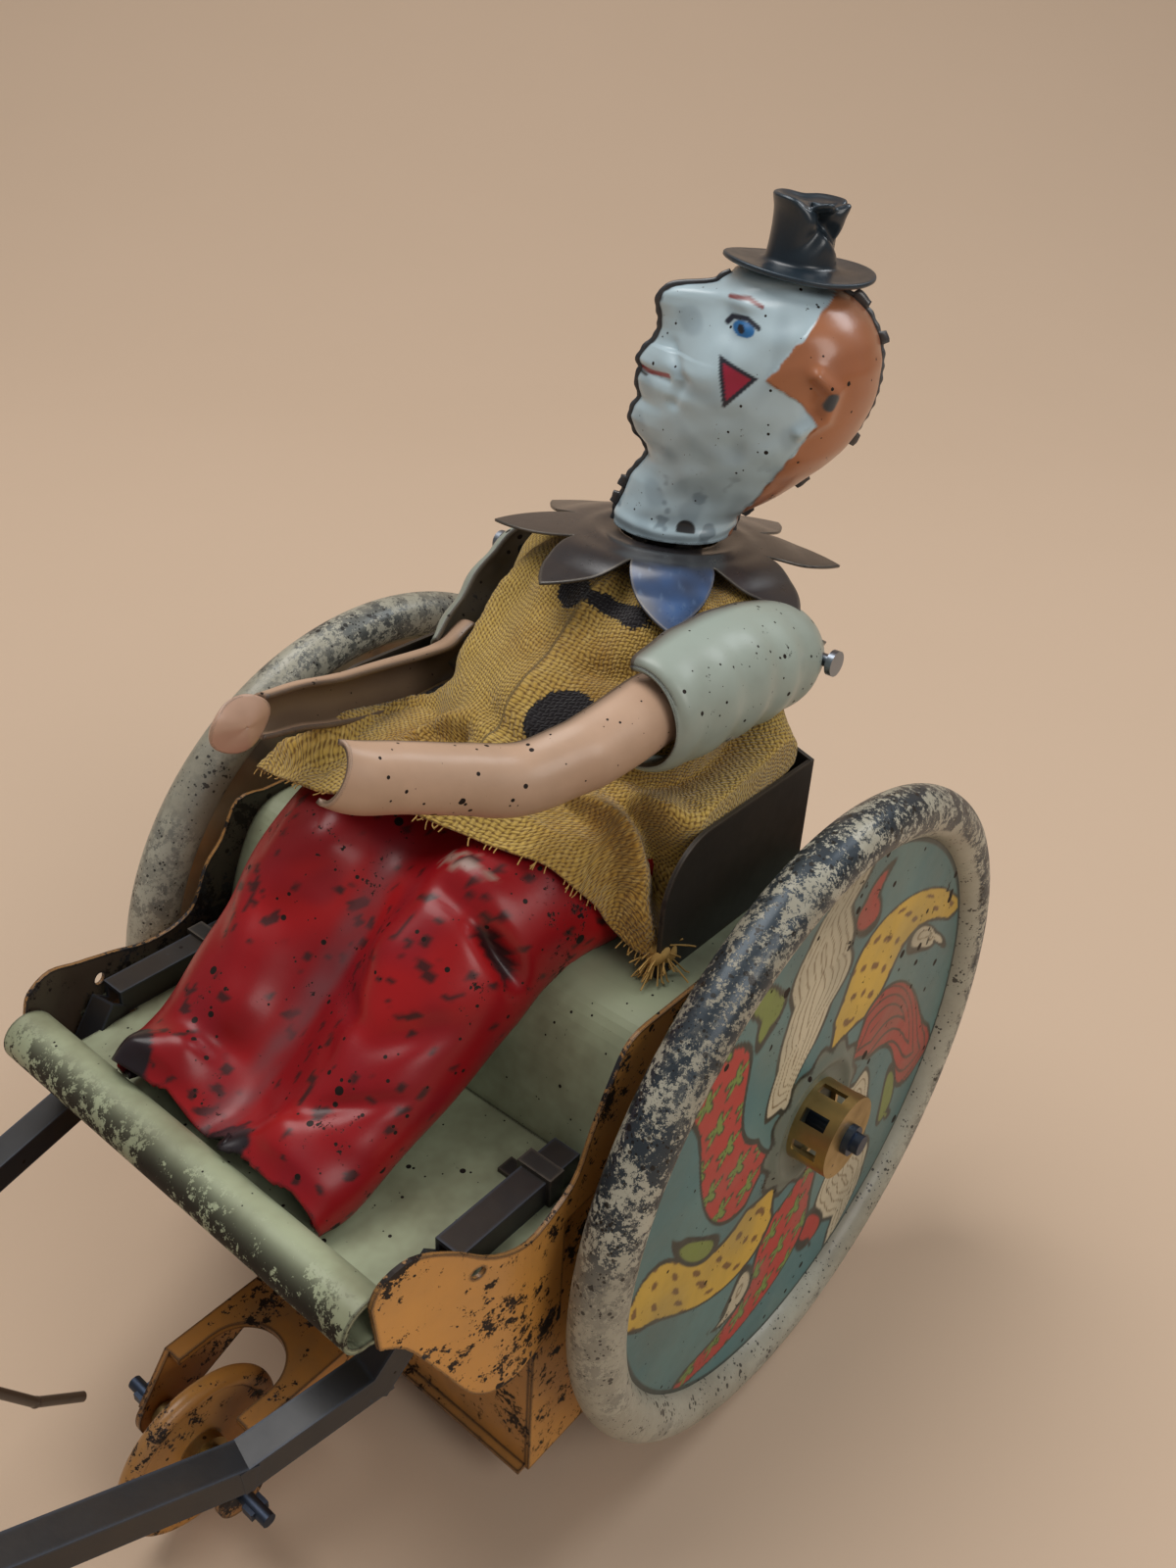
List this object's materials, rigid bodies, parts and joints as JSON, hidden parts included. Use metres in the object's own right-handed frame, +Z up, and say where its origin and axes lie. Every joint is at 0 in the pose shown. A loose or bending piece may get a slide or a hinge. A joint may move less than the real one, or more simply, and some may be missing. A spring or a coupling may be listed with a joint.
{
  "type": "wind-up toy mule cart",
  "caption": "Wind-up tin cart on two tall printed wheels with a seated clown in a cloth shirt, a front roller, and a mule pivoted between long shafts.",
  "frame": {"origin": "on the ground, under the middle of the whole toy's bounding box", "axes": "+X forward towards the mule's nose, +Y the toy's left, +Z up"},
  "size_m": [0.1919, 0.0854, 0.1309],
  "materials": {
    "tin_black": "semi-gloss, worn at the edges",
    "tin_green": "satin, scratched",
    "tin_orange": "satin, chipped",
    "wheel_tin": "printed tinplate, worn rim",
    "tin_red": "gloss, chipped",
    "tin_white": "gloss, chipped",
    "tin_flesh": "satin",
    "tin_grey": "bare tinplate",
    "mule_brown": "satin",
    "brass": "dull, tarnished",
    "steel": "dull",
    "cloth": "coarse plain weave"
  },
  "bodies": {
    "cart": {"floor_and_seat": "tin_green", "seat_back": "tin_black", "side_panel_left": "tin_orange", "side_panel_right": "tin_orange", "belly_wrap": "tin_orange", "shaft_left": "tin_black", "shaft_right": "tin_black", "shaft_clips": "tin_black", "front_fork": "tin_orange", "front_axle": "steel", "axle_bushes": "brass", "motor_plate_left": "steel", "motor_plate_right": "steel", "plate_pillars": "brass", "arbor_bracket": "steel", "arbor_bush": "brass", "mainspring": "steel", "spring_post": "brass", "toe_lugs": "tin_black", "toe_pin": "steel", "mule_pivot_pin": "steel"},
    "drive_wheels": {"drive_axle": "steel", "wheel_left": "wheel_tin", "wheel_right": "wheel_tin", "hub_cage_left": "brass", "hub_cage_right": "brass", "wheel_collars": "steel", "axle_pinion": "brass", "bounce_cam": "steel"},
    "front_roller": {"front_wheel": "tin_orange", "front_hub": "brass"},
    "intermediate": {"intermediate_arbor": "steel", "intermediate_wheel": "brass", "intermediate_pinion": "brass"},
    "great": {"great_wheel": "brass", "pawl_pin": "steel"},
    "click": {"pawl": "steel"},
    "winder": {"winding_arbor": "steel", "ratchet_wheel": "steel", "winding_key": "steel"},
    "lifter": {"push_rod": "steel"},
    "clown": {"toe_knuckles": "steel", "clown_legs": "tin_red", "torso_core": "tin_grey", "shoulder_wire": "steel", "shirt": "cloth", "collar": "tin_black"},
    "clown_head": {"head_left": "tin_white", "head_right": "tin_white", "neck_ring": "brass", "hat": "tin_black"},
    "clown_arm_left": {"arm_left": "tin_flesh"},
    "clown_arm_right": {"arm_right": "tin_flesh"},
    "mule": {"mule_bush": "brass", "mule_half_left": "mule_brown", "mule_half_right": "mule_brown", "mule_ears": "mule_brown", "mule_tail": "mule_brown"}
  },
  "joints": [
    {"name": "drive_spin", "type": "hinge", "parent": "cart", "child": "drive_wheels", "pos_m": [-0.056, 0, 0.04], "axis": [0, 1, 0], "continuous": true},
    {"name": "front_spin", "type": "hinge", "parent": "cart", "child": "front_roller", "pos_m": [0.004, 0, 0.01], "axis": [0, 1, 0], "continuous": true},
    {"name": "intermediate_spin", "type": "hinge", "parent": "cart", "child": "intermediate", "pos_m": [-0.04, 0, 0.02939], "axis": [0, 1, 0], "continuous": true},
    {"name": "great_spin", "type": "hinge", "parent": "cart", "child": "great", "pos_m": [-0.048, 0, 0.02939], "axis": [1, 0, 0], "continuous": true},
    {"name": "click_swing", "type": "hinge", "parent": "great", "child": "click", "pos_m": [-0.0498, 0, 0.03799], "axis": [1, 0, 0], "range_deg": [-10, 10], "stiffness_Nm_per_rad": 0.001},
    {"name": "winding_turn", "type": "hinge", "parent": "cart", "child": "winder", "pos_m": [-0.066, 0, 0.02939], "axis": [1, 0, 0], "continuous": true},
    {"name": "clown_bounce", "type": "hinge", "parent": "cart", "child": "clown", "pos_m": [-0.0055, 0, 0.051], "axis": [0, 1, 0], "range_deg": [0, 4]},
    {"name": "lifter_rise", "type": "slide", "parent": "cart", "child": "lifter", "axis": [0, 0, 1], "range_m": [0, 0.00352]},
    {"name": "head_turn", "type": "hinge", "parent": "clown", "child": "clown_head", "pos_m": [-0.07, 0, 0.097], "axis": [0, 0, 1], "range_deg": [-30, 100]},
    {"name": "arm_left_lift", "type": "hinge", "parent": "clown", "child": "clown_arm_left", "pos_m": [-0.068, 0.018, 0.0885], "axis": [0, -1, 0], "range_deg": [0, 14]},
    {"name": "arm_right_lift", "type": "hinge", "parent": "clown", "child": "clown_arm_right", "pos_m": [-0.068, -0.018, 0.0885], "axis": [0, -1, 0], "range_deg": [0, 14]},
    {"name": "mule_rock", "type": "hinge", "parent": "cart", "child": "mule", "pos_m": [0.056, 0, 0.049], "axis": [0, 1, 0], "range_deg": [-8, 8]}
  ],
  "couplings": [
    {"joint": "intermediate_spin", "follows": "drive_spin", "ratio": -0.33333},
    {"joint": "great_spin", "follows": "drive_spin", "ratio": 0.14286},
    {"joint": "lifter_rise", "follows": "clown_bounce", "m_per_rad": 0.0501}
  ]
}
